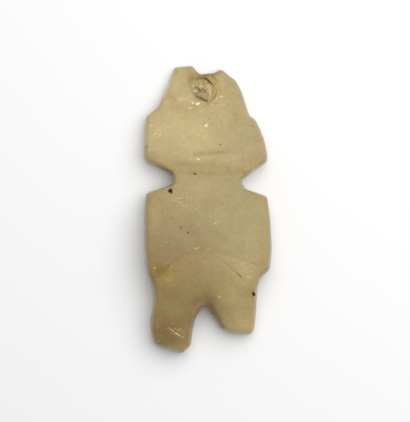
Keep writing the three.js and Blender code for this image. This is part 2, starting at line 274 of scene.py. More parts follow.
# Fresh scratches on the longer leg: points, half width and strength
SCRATCHES = [
    ([(-9.7, -28.9), (-9.3, -28.7)], 0.15, 0.43),
    ([(-9.1, -29.1), (-8.5, -29.5)], 0.19, 0.62),
    ([(-8.5, -29.5), (-7.9, -30.0)], 0.13, 0.35),
    ([(-7.8, -30.0), (-6.9, -30.6)], 0.22, 0.62),
    ([(-6.9, -30.6), (-6.7, -30.9)], 0.16, 0.39),
    ([(-8.2, -28.9), (-7.5, -29.3)], 0.15, 0.39),
    ([(-7.2, -29.5), (-6.5, -28.9)], 0.15, 0.39),
    ([(-6.4, -29.5), (-5.8, -29.9)], 0.13, 0.25),
    ([(-6.2, -30.9), (-5.8, -31.2)], 0.16, 0.39),
    ([(-8.6, -27.8), (-8.1, -27.5)], 0.15, 0.16),
    ([(-9.2, -30.1), (-7.6, -30.4)], 0.15, 0.16),
]
SCRATCH_DEPTH = 0.04

# Brown stains, and painted shade down the right leg's inner wall by the leg gap: points, half width
# and strength
STAINS_AND_GAP_SHADE = [
    ([(0.3, 7.5), (1.4, 7.6)], 0.40, 0.14),
    ([(-12.4, -15.2), (-11.8, -16.2)], 0.70, 0.25),
    ([(-10.9, -15.0), (-9.3, -13.6)], 0.45, 0.22),
    ([(5.0, -13.6), (7.8, -16.3)], 0.42, 0.14),
    ([(8.8, 9.0), (10.2, 9.3)], 0.70, 0.14),
    ([(-7.2, 11.2), (-4.0, 11.0), (-0.9, 10.7)], 0.80, 0.07),
    ([(0.5, -18.2), (0.4, -19.3)], 0.50, 0.20),
    # Painted shade down the right leg's inner wall, in the leg gap
    ([(0.8, -23.4), (2.2, -26.0), (3.2, -28.2)], 0.90, 0.40),
    ([(3.9, -28.4)], 0.50, 0.25),
]

# Long faint lines that are a little browner: points, half width and strength. Those in the grooves of
# the mouth, the chin and the forearms are painted shade.
LINES = [
    (MOUTH, 0.70, 0.12),
    (CHIN_CREASE, 0.60, 0.12),
    (LEFT_ARM_FOOT, 0.40, 0.16),
    (RIGHT_ARM_FOOT, 0.45, 0.16),
    (RIGHT_ARM_TOP[1:], 0.40, 0.10),
    (SHOULDER_RIM, 0.60, 0.18),
]

# Marks in and round the front bore, placed from the middle of its mouth: points, half width,
# depth, colour and strength. The first run along its upper rim, where the earth has shrunk away, and
# their dark colour is earth with painted shade of the steep upper wall.
BORE_MARKS = [
    ([(-2.6, 2.7), (-2.1, 2.9), (-1.7, 3.1)], 0.38, 0.04, SOIL, 0.60),
    ([(-1.7, 3.1), (-1.0, 3.2), (-0.4, 3.0)], 0.34, 0.04, BROWN, 0.60),
    ([(-0.4, 3.0), (0.4, 2.85)], 0.36, 0.08, SOIL, 0.80),
    ([(0.4, 2.85), (0.9, 2.5), (1.3, 2.05)], 0.42, 0.12, OCHRE, 0.80),
    ([(1.3, 2.05), (1.9, 1.4)], 0.36, 0.08, SOIL, 0.60),
    ([(0.9, 2.2), (0.3, 2.5)], 0.30, 0.03, SOIL, 0.35),
    # A crack at the lower left, where the earth has shrunk from the wall, darkened with earth and
    # painted shade
    ([(-1.8, -1.4), (-1.2, -1.75), (-0.8, -2.0)], 0.38, 0.14, OCHRE, 0.90),
    ([(-0.8, -2.0), (0.1, -2.4), (0.7, -2.65)], 0.40, 0.18, OCHRE, 0.95),
    ([(-2.0, 0.7), (-1.5, 0.5), (-1.2, 0.1), (-1.0, -0.2)], 0.38, 0.12, MUD, 0.85),
    ([(-0.4, 0.3), (0.0, -0.2), (0.3, -0.5)], 0.36, 0.10, MUD, 0.75),
    ([(0.2, -0.4), (0.6, 0.0)], 0.30, 0.04, MUD, 0.40),
    ([(-2.6, -0.8), (-2.0, -0.8), (-1.4, -0.7)], 0.36, 0.06, BROWN, 0.45),
    ([(-0.3, 2.1)], 0.32, 0.03, MOSS, 0.45),
    ([(-0.4, 1.3), (0.0, 1.4)], 0.32, 0.03, MOSS, 0.45),
    ([(-1.4, 2.2)], 0.32, 0.02, MOSS, 0.30),
    ([(-1.0, 3.8), (-0.7, 3.7)], 0.35, 0.02, SOIL, 0.45),
    ([(0.0, 3.8), (0.2, 3.6)], 0.35, 0.02, MOSS, 0.70),
    ([(0.7, 3.8), (0.8, 3.5)], 0.28, 0.02, SOIL, 0.50),
    ([(1.4, 3.8), (1.5, 3.0)], 0.26, 0.02, SOIL, 0.40),
    ([(2.0, 3.6), (2.2, 2.8)], 0.26, 0.02, SOIL, 0.35),
    ([(2.6, 3.4), (2.9, 2.5)], 0.26, 0.02, SOIL, 0.30),
    ([(2.6, 1.9), (2.8, 1.3)], 0.26, 0.01, SOIL, 0.30),
    ([(1.0, -0.7), (0.9, -1.2)], 0.32, 0.03, BROWN, 0.50),
    ([(0.2, -1.5), (0.6, -1.9)], 0.45, 0.03, BROWN, 0.45),
    # Painted shade along the bore's left rim
    ([(-3.2, 3.0), (-3.3, 1.2)], 0.60, 0.00, BROWN, 0.25),
    ([(-2.9, 0.5), (-2.8, -0.5)], 0.40, 0.03, BROWN, 0.35),
    ([(-2.4, -1.0), (-1.9, -1.7), (-1.0, -2.6)], 0.50, 0.00, BROWN, 0.30),
    ([(2.0, 0.8), (2.1, -0.2), (1.9, -1.0)], 0.26, 0.03, BROWN, 0.30),
    ([(3.0, 0.0), (3.0, -0.8), (2.7, -1.4)], 0.28, 0.04, SOIL, 0.40),
    ([(2.6, -1.5), (2.0, -2.1)], 0.40, 0.03, SOIL, 0.40),
    ([(2.1, -2.5), (1.3, -3.0)], 0.60, 0.02, BROWN, 0.50),
    ([(0.6, -3.2), (1.0, -3.6)], 0.26, 0.02, BROWN, 0.40),
    ([(3.7, 0.6), (4.1, -0.1), (4.0, -1.0)], 0.36, 0.01, BROWN, 0.20),
    ([(2.1, -3.0), (2.6, -3.4), (3.1, -3.2)], 0.32, 0.02, BROWN, 0.30),
    ([(-2.8, 1.1), (-2.5, 1.0)], 0.26, -0.01, BRUISE, 0.20),
    ([(-2.4, -0.2), (-1.9, -0.1)], 0.32, -0.03, BRUISE, 0.22),
    ([(-1.0, 1.1), (-0.6, 0.9)], 0.36, -0.04, BRUISE, 0.30),
    ([(-0.8, -0.9), (-0.4, -1.1)], 0.34, -0.04, BRUISE, 0.12),
    ([(1.1, 1.0), (1.4, 0.3), (1.5, -0.9)], 0.42, -0.02, BRUISE, 0.20),
    ([(2.6, 0.6), (2.6, -0.5)], 0.32, 0.00, BRUISE, 0.15),
    ([(1.6, -3.1), (2.6, -2.6), (3.2, -2.0)], 0.26, -0.02, BRUISE, 0.16),
]

# Broad washes of colour laid over the honey stone: place, reach along X and Y, colour, strength. Some
# are painted light or painted shade, as noted on each.
WASHES = [
    ((-8.0, 18.5), (12.5, 10.5), CREAM, 0.85),
    # Painted light on the head's left border, against the shade of its rounded edge
    ((-13.2, 18.0), (3.0, 5.0), PALE, 0.35),
    ((-2.0, 18.5), (1.8, 3.5), PALE, 0.22),
    ((2.6, 18.3), (1.6, 2.6), TAN, 0.12),
    ((8.0, 18.0), (9.0, 11.0), CREAM, 0.15),
    # Painted light over the left ear's rounded edge, against its shade
    ((-8.4, 31.0), (3.0, 4.5), PALE, 0.45),
    ((2.5, 27.5), (5.0, 5.0), CREAM, 0.15),
    ((2.8, 31.4), (1.6, 1.8), CREAM, 0.40),
    ((-5.4, 32.8), (1.6, 1.8), PALE, 0.22),
    ((-6.8, 32.8), (1.4, 1.2), SAGE, 0.30),
    ((-8.0, 26.0), (2.6, 2.6), TAN, 0.20),
    ((-10.2, 26.4), (1.6, 3.6), CREAM, 0.35),
    ((-3.6, 24.2), (6.0, 1.6), TAN, 0.12),
    ((-9.1, 27.6), (1.5, 1.2), RUST, 0.35),
    ((-4.0, 24.8), (3.0, 1.2), TAN, 0.15),
    ((6.9, 21.9), (0.7, 1.4), OCHRE, 0.20),
    ((7.4, 27.8), (1.0, 1.2), RUST, 0.25),
    ((-11.5, 16.4), (1.8, 1.4), SAGE, 0.30),
    ((-13.4, 13.4), (1.8, 1.2), BROWN, 0.22),
    ((-12.0, 12.6), (3.4, 1.2), BROWN, 0.12),
    ((-12.6, 15.6), (2.4, 4.2), DUST_AND_SHEEN, 0.12),
    ((-12.6, 15.0), (2.4, 4.2), TAN, 0.12),
    ((12.6, 16.0), (1.6, 6.0), TAN, 0.20),
    ((9.6, 16.2), (1.6, 2.0), SAGE, 0.35),
    ((10.9, 9.8), (2.6, 1.0), PALE, 0.30),
    ((12.6, 13.2), (1.6, 1.2), TAN, 0.18),
    # Darker along the mouth: painted shade in its groove, with dirt
    ((0.8, 14.0), (4.4, 0.8), TAN, 0.25),
    ((8.2, 9.9), (2.4, 0.8), TAN, 0.35),
    ((-6.0, 11.2), (2.6, 0.6), TAN, 0.25),
    ((9.5, -8.0), (7.0, 13.0), OLIVE, 0.50),
    ((0.0, -0.5), (14.0, 7.0), TAN, 0.10),
    ((0.5, 0.6), (1.6, 2.2), TAN, 0.20),
    ((10.6, 2.8), (3.6, 2.4), TAN, 0.16),
    ((-7.4, -4.4), (3.6, 2.6), TAN, 0.22),
    ((-8.6, -5.0), (3.8, 3.0), OLIVE, 0.16),
    ((-13.6, -3.0), (1.0, 2.0), TAN, 0.30),
    ((8.0, -1.0), (5.0, 3.5), SAGE, 0.15),
    ((2.2, -6.6), (2.4, 2.2), TAN, 0.28),
    ((-3.2, -5.6), (2.6, 2.4), TAN, 0.38),
    ((-8.6, -3.4), (1.8, 1.6), RUST, 0.22),
    ((2.0, -3.0), (4.5, 3.5), SAGE, 0.25),
    ((-11.8, -1.0), (1.2, 4.5), SAGE, 0.25),
    ((-13.2, -2.5), (0.9, 2.8), ROSE, 0.25),
    ((10.0, -5.5), (1.8, 4.5), PALE, 0.08),
    ((9.6, -3.6), (3.0, 4.4), SAGE, 0.16),
    ((13.2, -6.0), (0.9, 7.0), TAN, 0.20),
    ((13.6, -12.6), (0.9, 1.6), RUST, 0.40),
    ((8.3, -13.6), (3.6, 2.0), CREAM, 0.35),
    ((9.6, -16.6), (2.2, 2.2), CREAM, 0.35),
    ((4.4, -11.6), (2.2, 1.0), PALE, 0.10),
    ((5.4, -12.6), (5.0, 2.6), TAN, 0.12),
    ((3.6, -14.6), (6.5, 4.0), PALE, 0.10),
    ((-2.0, 5.6), (8.0, 3.0), CREAM, 0.12),
    ((5.4, 10.4), (6.0, 2.0), CREAM, 0.15),
    ((9.6, -2.6), (4.5, 3.0), TAN, 0.20),
    ((-6.4, -8.4), (4.0, 2.4), TAN, 0.12),
    ((-3.0, -5.2), (7.0, 2.6), TAN, 0.12),
    ((-10.0, -14.0), (9.0, 10.0), TAN, 0.75),
    ((-12.4, -15.8), (1.5, 1.2), MUSTARD, 0.35),
    ((-10.8, -15.4), (1.4, 0.7), MUSTARD, 0.20),
    ((-12.6, -15.2), (2.0, 2.6), BROWN, 0.25),
    ((-9.4, -16.4), (2.6, 1.8), GOLD, 0.35),
    ((-5.0, -13.6), (3.4, 2.6), GOLD, 0.20),
    ((-9.3, -20.9), (1.6, 1.0), BROWN, 0.25),
    ((-8.8, -24.4), (2.2, 1.8), OLIVE, 0.35),
    ((-9.0, -31.0), (7.0, 7.0), BROWN, 0.60),
    ((-10.6, -29.6), (2.2, 2.4), BROWN, 0.70),
    ((-9.0, -33.8), (3.4, 0.8), TAN, 0.25),
    ((-5.6, -30.8), (1.3, 2.8), CREAM, 0.10),
    ((-7.6, -34.2), (2.4, 0.8), PALE, 0.30),
    # Painted shade on the left leg's inner side, by the leg gap
    ((-3.2, -25.0), (1.6, 3.2), BROWN, 0.55),
    # Painted shade and brown stain where the surface dips into the leg gap
    ((0.2, -21.5), (2.4, 2.6), BROWN, 0.35),
    ((0.2, -20.4), (1.6, 1.8), RUST, 0.35),
    ((-0.8, -22.4), (2.4, 0.9), BROWN, 0.22),
    ((6.0, -19.5), (5.0, 3.0), CREAM, 0.20),
    ((9.0, -27.2), (4.6, 4.6), CREAM, 0.85),
    ((4.6, -27.6), (1.6, 2.0), ROSE, 0.25),
    ((10.3, -19.8), (1.4, 1.8), TAN, 0.30),
    ((12.4, -21.2), (1.2, 2.2), TAN, 0.28),
]

# Slow changes from cool to warm over the whole stone: their size, and what they do to each colour
WARMTH_SIZE = 2.6
WARMTH = (0.03, 0.0, -0.06)

# Washes in and round the front bore, placed from the middle of its mouth. The two brown ones at its
# left rim are painted shade.
BORE_WASHES = [
    ((-0.9, -0.3), (1.7, 1.3), SAGE, 0.50),
    ((-1.1, -0.9), (1.3, 1.4), MUD, 0.42),
    ((-0.2, 1.2), (1.4, 0.9), CREAM, 0.30),
    ((1.6, 0.0), (0.9, 2.0), CREAM, 0.45),
    ((2.6, 1.4), (1.0, 2.2), GOLD, 0.60),
    ((-3.8, 4.1), (0.9, 1.3), GOLD, 0.50),
    ((-3.1, 2.9), (0.8, 1.2), SOIL, 0.30),
    ((0.6, 3.0), (3.0, 1.3), GOLD, 0.35),
    ((0.2, 3.9), (2.2, 0.8), SOIL, 0.55),
    ((0.2, 3.8), (1.4, 0.8), SOIL, 0.45),
    ((-3.5, 2.4), (1.0, 1.8), BROWN, 0.16),
    ((1.8, 3.5), (1.6, 1.0), GOLD, 0.45),
    ((-3.2, 0.6), (0.6, 1.6), BROWN, 0.12),
    ((-3.4, -1.6), (1.4, 1.4), CREAM, 0.30),
]

# Washes over the steep sides and worn edges only: place, reach, colour, strength. The first covers
# them all, as dust with a painted sheen; the others add painted shade, painted light and earth, as
# noted on each.
EDGE_DUST_SHADE_AND_LIGHT = [
    # Dust on every steep side, with a painted grey sheen
    ((0.0, 0.0), (200.0, 200.0), DUST_AND_SHEEN, 0.35),
    # Painted cool shade and reflection on the left side walls, which face away from the light
    ((-15.6, -6.0), (1.6, 12.0), DUST_AND_SHEEN, 0.60),
    ((-14.8, -12.4), (1.6, 3.4), DUST_AND_SHEEN, 0.40),
    ((-12.8, -25.5), (1.4, 6.0), DUST_AND_SHEEN, 0.45),
    # Brown stain and painted shade on the side of the left elbow
    ((-12.8, -16.4), (1.6, 2.6), BROWN, 0.60),
    # Painted reflection on the right side wall
    ((15.2, -13.0), (1.6, 4.0), DUST_AND_SHEEN, 0.45),
    # Painted light on the head's upper left rims and on the right jaw's lower rim
    ((-9.4, 29.5), (2.4, 4.2), PAINTED_RIM_LIGHT, 0.65),
    ((-15.4, 18.5), (1.5, 4.5), PAINTED_RIM_LIGHT, 0.40),
    ((11.5, 9.4), (3.0, 1.6), PAINTED_RIM_LIGHT, 0.30),
    # Painted shade on the wall under the left jaw and on the walls of the leg gap
    ((-10.2, 8.8), (3.6, 2.4), BROWN, 0.65),
    ((-2.6, -25.5), (2.4, 4.0), BROWN, 0.45),
    ((-0.8, -22.9), (2.4, 1.4), RUST, 0.70),
    # Painted light on the right foot's lower rim
    ((8.8, -30.0), (3.8, 0.9), CREAM, 0.50),
    ((-0.4, 33.2), (2.4, 1.0), MOSS, 0.80),
]

# Notches cut with a wet string, which left fine grooves down their walls: place, reach
SAWN = [
    ((-10.0, 7.4), (4.0, 3.4)),
    ((9.4, 6.6), (4.0, 3.6)),
    ((0.2, -26.0), (4.4, 5.0)),
]

# Where dark earth mottles the stone, and where its skin is finely bruised: place, reach, strength
SOILED = [
    ((-0.8, 32.7), (3.0, 1.0), 1.00),
    ((1.8, 31.4), (1.0, 1.3), 0.45),
    ((-3.9, 31.9), (1.0, 1.2), 0.45),
    ((-1.6, 29.0), (1.8, 1.8), 0.25),
    ((-12.3, -15.7), (1.5, 1.2), 0.50),
    ((0.4, -19.0), (2.6, 1.6), 0.22),
    ((11.0, 21.0), (2.0, 2.4), 0.20),
    ((1.5, 13.8), (4.4, 0.6), 0.20),
]
BRUISED = [
    ((-5.6, 1.8), (4.4, 3.0), 0.32),
    ((1.9, -1.8), (2.0, 2.2), 0.22),
    ((5.2, 11.6), (3.0, 1.1), 0.35),
    ((2.9, 26.4), (2.0, 1.3), 0.35),
    ((-6.4, 26.9), (1.6, 0.8), 0.25),
    ((-12.4, 17.8), (2.8, 3.4), 0.30),
    ((9.6, -15.6), (2.4, 2.0), 0.20),
    ((-9.4, -17.0), (1.9, 1.2), 0.22),
    ((-8.0, -30.2), (2.0, 1.6), 0.12),
    ((-8.6, -33.6), (3.4, 0.9), 0.30),
]

# Variation finer than the mesh: size in millimetres, detail, and by what share it changes the tone
CLOUDS = [
    (4.0, 4, 0.05),
    (0.9, 4, 0.06),
    (0.35, 2, 0.06),
]
CLOUD_LOW = 0.3  # the noise they are made of stays mostly between these
CLOUD_HIGH = 0.7

# Mottles of another colour: name, where they are, colour, size of a spot, and the noise at which a
# spot starts and at which it is full
MOTTLES = [
    ("soiled", SOILED, SOIL, 0.5, 0.48, 0.60),
    ("bruised", BRUISED, BRUISE, 0.34, 0.52, 0.68),
]
SPOT_DETAIL = 2

# The polish: its grit, its sheen, and how far light spreads in the stone, as red, green and blue
GRIT_SIZE = 0.3
GRIT_HEIGHT = 0.03
GRIT_STRENGTH = 0.25
STONE_ROUGHNESS = 0.42
GLOW = 0.5
GLOW_DEPTH = 0.8
GLOW_SPREAD = (1.0, 0.9, 0.7)


def smoothstep(start, end, value):
    """0 before start and 1 after end, with a smooth rise between. Start may be above end."""
    t = np.clip((value - start) / (end - start), 0, 1)
    return t * t * (3 - 2 * t)


def noise_at(points, size, octaves=3, shift=0.0):
    """Smooth noise about 0, with features of that size, that depends only on the place.

    Each octave is twice as fine as the one before and half as strong. Another shift gives another
    pattern.
    """
    fall, fineness = 1, 2
    move = Vector((shift,) * 3)
    return np.array([noise.fractal(Vector(p) / size + move, fall, fineness, octaves) for p in points])


def line_distance(points, line):
    """Distance in plan from a line through one or more places."""
    plan = points[:, :2]
    nearest = np.linalg.norm(plan - line[0], axis=1)
    for start, end in zip(line, line[1:]):
        run = np.subtract(end, start)
        along = np.clip((plan - start) @ run / (run @ run), 0, 1)
        nearest = np.minimum(nearest, np.linalg.norm(plan - start - along[:, None] * run, axis=1))
    return nearest


def spot_distance(points, place):
    """Distance in plan from one place."""
    return np.linalg.norm(points[:, :2] - place, axis=1)


def bore_distance(points):
    """Distance in plan from the middle of the front bore, where 1 is the rim of its oval mouth."""
    x, y = (points[:, :2] - BORE).T
    return np.hypot((x - y) / BORE_LONG, (x + y) / BORE_SHORT) / math.sqrt(2)


def bump(distance, reach):
    """1 at no distance, falling smoothly to 0 at the reach."""
    return np.clip(1 - (distance / reach) ** 2, 0, None) ** 2


def patch(points, place, reach):
    """1 in the middle of a soft oval patch, fading away round it."""
    return np.exp(-np.sum(((points[:, :2] - place) / reach) ** 2, axis=1))


def patches(points, table):
    """How far each point lies in any of a table's patches."""
    covers = [strength * patch(points, place, reach) for place, reach, strength in table]
    return np.max(covers, axis=0)


def mesh_points(mesh, what="co"):
    """Where the mesh's points are, or their normals, one row to a point."""
    values = np.empty(len(mesh.vertices) * 3, np.float32)
    mesh.vertices.foreach_get(what, values)
    return values.reshape(-1, 3).astype(float)


def set_points(mesh, points):
    """Moves the mesh's points to these."""
    mesh.vertices.foreach_set("co", points.astype(np.float32).ravel())
    mesh.update()


def relax(mesh, rounds, chosen=None):
    """Evens out a mesh without shrinking it, at all points or the chosen ones."""
    edges = np.empty(len(mesh.edges) * 2, np.int32)
    mesh.edges.foreach_get("vertices", edges)
    here = np.concatenate([edges[0::2], edges[1::2]])
    there = np.concatenate([edges[1::2], edges[0::2]])
    points = mesh_points(mesh)
    count = np.bincount(here, minlength=len(points))
    share = 1.0 if chosen is None else chosen[:, None].astype(float)
    for step in (SMOOTH_STEP, SWELL_STEP) * rounds:
        around = [np.bincount(here, points[there, axis], len(points)) / count for axis in range(3)]
        points = points + share * step * (np.stack(around, axis=1) - points)
    set_points(mesh, points)


def even_mesh(node):
    """The CAD node's surface as a fine even mesh without facets, in millimetres."""
    coarse = node.data.copy()
    coarse.transform(Matrix.Scale(1 / MM, 4))
    welded = bmesh.new()
    welded.from_mesh(coarse)
    bmesh.ops.remove_doubles(welded, verts=welded.verts, dist=WELD)
    welded.to_mesh(coarse)
    welded.free()
    work = bpy.data.objects.new("figurine_stone", coarse)
    bpy.context.scene.collection.objects.link(work)
    work.modifiers.new("round", "SUBSURF").levels = 1
    even = work.modifiers.new("even", "REMESH")
    even.mode = "VOXEL"
    even.voxel_size = GRAIN
    view = bpy.context.evaluated_depsgraph_get()
    mesh = bpy.data.meshes.new_from_object(work.evaluated_get(view))
    work.modifiers.clear()
    work.data = mesh
    relax(mesh, EVEN_ROUNDS)
    return work


def front_of(points, normals):
    """Which points belong to the carved front."""
    return (points[:, 2] > FRONT_LEVEL) & (normals[:, 2] > FRONT_FACING)


def back_of(points, normals):
    """Which points belong to the ground back."""
    return (points[:, 2] < FRONT_LEVEL) & (normals[:, 2] < BACK_FACING)


def mouth_strokes():
    """The row of short dark strokes, some stronger than others, that makes up the mouth's line:
    painted shade in its groove, with dirt.
    """
    strokes = []
    for step in range(MOUTH_STROKES):
        x = MOUTH[0][0] + step * MOUTH_STEP
        y = np.interp(x, *zip(*MOUTH))
        change = noise.noise(Vector((MOUTH_RHYTHM * x, 0, MOUTH_SHIFT)))
        strength = max(MOUTH_FAINTEST, MOUTH_DARK + MOUTH_CHANGE * change)
        line = [(x, y - MOUTH_STROKE), (x, y + MOUTH_STROKE)]
        strokes.append((line, MOUTH_STROKE, 0, MUSTARD, strength))
    return strokes


def all_marks():
    """Every small mark: the points it runs through, half width, depth, colour and strength."""
    marks = [(line, half, depth, EARTH, dark) for line, half, depth, dark in PITS]
    marks += [(line, half, 0, BRUISE, strength) for line, half, strength in FLECKS]
    marks += [(line, half, SCRATCH_DEPTH * s, BRUISE, s) for line, half, s in SCRATCHES]
    marks += [(line, half, 0, OCHRE, strength) for line, half, strength in STAINS_AND_GAP_SHADE]
    marks += mouth_strokes()
    for line, half, depth, tone, strength in BORE_MARKS:
        marks.append(([(BORE[0] + x, BORE[1] + y) for x, y in line], half, depth, tone, strength))
    return marks


def near_marks(mesh, room, finest):
    """Which points of the front are near the bore or a small mark, or only near the finest marks."""
    points = mesh_points(mesh)
    near = bore_distance(points) < 1 + room / BORE_SHORT
    for line, half, depth, *_ in all_marks():
        if not finest or half < FINE_HALF or depth > FINE_DEPTH:
            near |= line_distance(points, line) < half + room
    return near & front_of(points, mesh_points(mesh, "normal"))


def refine(mesh):
    """Splits the faces near small marks, twice, so that the marks have enough points."""
    for room, finest in ((MARK_ROOM, False), (FINE_ROOM, True)):
        chosen = near_marks(mesh, room, finest)
        work = bmesh.new()
        work.from_mesh(mesh)
        work.verts.ensure_lookup_table()
        edges = [e for e in work.edges if chosen[e.verts[0].index] and chosen[e.verts[1].index]]
        bmesh.ops.subdivide_edges(work, edges=edges, cuts=1, use_grid_fill=True)
        work.to_mesh(mesh)
        work.free()
        relax(mesh, SPLIT_ROUNDS, near_marks(mesh, room, finest))


def face_relief(points):
    """Height of the soft carving on the head."""
    y = points[:, 1]
    step = smoothstep(BROW_LEVEL + BROW_HALF, BROW_LEVEL - BROW_HALF, y)
    brow = BROW_STEP * step * smoothstep(*BROW_FADE, y)
    crease = CREASE_DEPTH * bump(line_distance(points, CHIN_CREASE), CREASE_HALF)
    return brow - crease


def arm_relief(points):
    """Height of the thin grooves round the forearms."""
    lines = (LEFT_ARM_FOOT, RIGHT_ARM_FOOT, RIGHT_ARM_TOP)
    grooves = [bump(line_distance(points, line), ARM_HALF) for line in lines]
    return -ARM_DEPTH * np.max(grooves, axis=0)


def elbow_relief(points):
    """The shallow hollow at the left elbow."""
    return -ELBOW_DEPTH * bump(spot_distance(points, ELBOW_HOLLOW), ELBOW_HALF)


def leg_relief(points):
    """The valley that runs down between the legs."""
    start = CROTCH_VALLEY[0][1] + VALLEY_LEAD
    valley = smoothstep(start, CROTCH[1], points[:, 1])
    return -VALLEY_DEPTH * valley * bump(line_distance(points, CROTCH_VALLEY), VALLEY_HALF)


def ragged(points):
    """How much farther than it is a point counts from a mark, so that marks have uneven borders."""
    return 1 + RAGGED_SHARE * noise_at(points, RAGGED_SIZE, octaves=2, shift=3.0)


def mark_relief(points):
    """How far the pits, the scratches and the marks in the bore sink or rise."""
    uneven = ragged(points)
    return -sum(depth * bump(line_distance(points, line) * uneven, half)
                for line, half, depth, *_ in all_marks() if depth)


def fill_bore(points, level, front):
    """Sets the packed earth's surface in the bore, below the stone round it."""
    away = points[:, :2] - BORE
    distance = np.linalg.norm(away, axis=1)
    # The front just outside the mouth, as a smooth curved surface that is carried on over it
    x, y = away.T
    terms = np.column_stack([np.ones(len(x)), x, y, x * x, x * y, y * y])
    rim = (distance > BORE_LONG + RIM_START) & (distance < BORE_LONG + RIM_END) & (level > RIM_LEVEL)
    stone = terms @ np.linalg.lstsq(terms[rim], points[rim, 2], rcond=None)[0]
    # The earth lies below it, inside a wall that is steep on one side and gentle on the other
    gentle = smoothstep(*STEEP_TURN, away @ STEEP_SIDE / np.maximum(distance, NEAREST))
    wall = WALL_STEEP + (WALL_GENTLE - WALL_STEEP) * gentle
    inside = np.clip((1 - bore_distance(points)) * BORE_SHORT / wall, 0, 1)
    depth = FILL_DEPTH + FILL_SLOPE * (away @ FILL_FALL) / BORE_LONG
    depth += FILL_LUMP * noise_at(points * IN_PLAN, FILL_LUMP_SIZE)
    filled = stone - depth * smoothstep(0, 1, inside)
    share = smoothstep(BORE_LONG + FILL_BLEND, BORE_LONG, distance) * front
    share *= np.maximum(level, bore_distance(points) < FILL_REACH)
    points[:, 2] += share * (filled - points[:, 2])


def fill_back_bore(points, back):
    """Sets the packed earth's surface in the back bore, and sinks the small pits of the back."""
    level = BACK_FILL + FILL_LUMP * noise_at(points * IN_PLAN, BACK_LUMP_SIZE)
    inside = back & (spot_distance(points, BACK_BORE) < BACK_MOUTH)
    points[:, 2] = np.where(inside, np.minimum(points[:, 2], level), points[:, 2])
    for place, half, depth in BACK_PITS:
        points[:, 2] += back * depth * bump(spot_distance(points, place), half)


def tool_relief(points, normals):
    """Fine grooves down the sawn walls, and the faint streaks of the ground back."""
    steep = smoothstep(*WALL_FACING, np.abs(normals[:, 2]))
    sawn = np.max([patch(points, place, reach) for place, reach in SAWN], axis=0)
    pattern = noise_at(points * STRING_STRETCH, STRING_SIZE, octaves=2, shift=5.0)
    grooves = STRING_DEPTH * steep * sawn * pattern
    plan = points[:, :2]
    flow = np.column_stack([plan @ STREAK_ALONG, plan @ STREAK_ACROSS, np.zeros(len(plan))])
    pattern = noise_at(flow, STREAK_SIZE, octaves=2, shift=9.0)
    streaks = STREAK_DEPTH * smoothstep(*GROUND_FACING, normals[:, 2]) * pattern
    return grooves + streaks


def displace(mesh):
    """Carves the relief and the wear into the even mesh."""
    points = mesh_points(mesh)
    normals = mesh_points(mesh, "normal")
    level = smoothstep(*CARVED_FACING, normals[:, 2])
    front = front_of(points, normals)
    relief = face_relief(points) + arm_relief(points) + elbow_relief(points) + leg_relief(points)
    marks = mark_relief(points)
    waves = WAVE_HEIGHT * noise_at(points, WAVE_SIZE)
    waves += RIPPLE_HEIGHT * noise_at(points, RIPPLE_SIZE, shift=7.0)
    back = back_of(points, normals)
    points = points + normals * (waves + tool_relief(points, normals))[:, None]
    points[:, 2] += level * relief
    fill_bore(points, level, front)
    points[:, 2] += marks * front
    fill_back_bore(points, back)
    set_points(mesh, points)


def keep_in_box(mesh, low, high):
    """Presses the highest spots back inside the CAD box, and sets the back down on the table."""
    margin = Vector((BOX_MARGIN,) * 3)
    points = np.clip(mesh_points(mesh), low / MM + margin, high / MM - margin)
    points[:, 2] -= points[:, 2].min()
    set_points(mesh, points)


def stone_colour(points, normals):
    """Colour of the stone at each point: broad washes, worn edges, flecks and earth, with painted
    shade and painted light on some edges, grooves and hollows.
    """
    colour = np.tile(HONEY, (len(points), 1))
    front = front_of(points, normals)

    def lay(tone, amount):
        colour[:] += amount[:, None] * (tone - colour)

    for place, reach, tone, strength in WASHES:
        lay(tone, strength * patch(points, place, reach))
    for place, reach, tone, strength in BORE_WASHES:
        lay(tone, strength * front * patch(points, np.add(BORE, place), reach))
    warmth = noise_at(points, WARMTH_SIZE, shift=11.0)
    colour *= 1 + warmth[:, None] * WARMTH
    steep = smoothstep(*BORDER_FACING, normals[:, 2]) * (bore_distance(points) > EDGE_WASH_CLEARANCE)
    # Dust and wear on the steep sides, with painted shade, sheen and light on some of them
    for place, reach, tone, strength in EDGE_DUST_SHADE_AND_LIGHT:
        lay(tone, strength * steep * patch(points, place, reach))
    back = back_of(points, normals)
    start, end = BACK_MOUTH + BACK_SOIL_OUTSIDE, BACK_MOUTH - BACK_SOIL_INSIDE
    lay(SOIL, BACK_SOIL * back * smoothstep(start, end, spot_distance(points, BACK_BORE)))
    for place, half, _ in BACK_PITS:
        lay(OCHRE, BACK_PIT_DARK * back * bump(spot_distance(points, place), half))
    uneven = ragged(points)
    for line, half, strength in LINES:
        lay(OCHRE, strength * front * bump(line_distance(points, line) * uneven, half))
    # Small marks; among them painted shade in the leg gap, in the mouth and at the bore's rims
    for line, half, _, tone, strength in all_marks():
        lay(tone, strength * front * np.sqrt(bump(line_distance(points, line) * uneven, half)))
    return colour


def paint(mesh, colour):
    """Stores the stone's colour at each point, for the material."""
    layer = mesh.attributes.new("tone", "FLOAT_COLOR", "POINT")
    with_alpha = np.column_stack([colour, np.ones(len(colour))])
    layer.data.foreach_set("color", with_alpha.astype(np.float32).ravel())


def mask(mesh, name, amount):
    """Stores how far a mottle may show at each point, for the material."""
    mesh.attributes.new(name, "FLOAT", "POINT").data.foreach_set("value", amount.astype(np.float32))


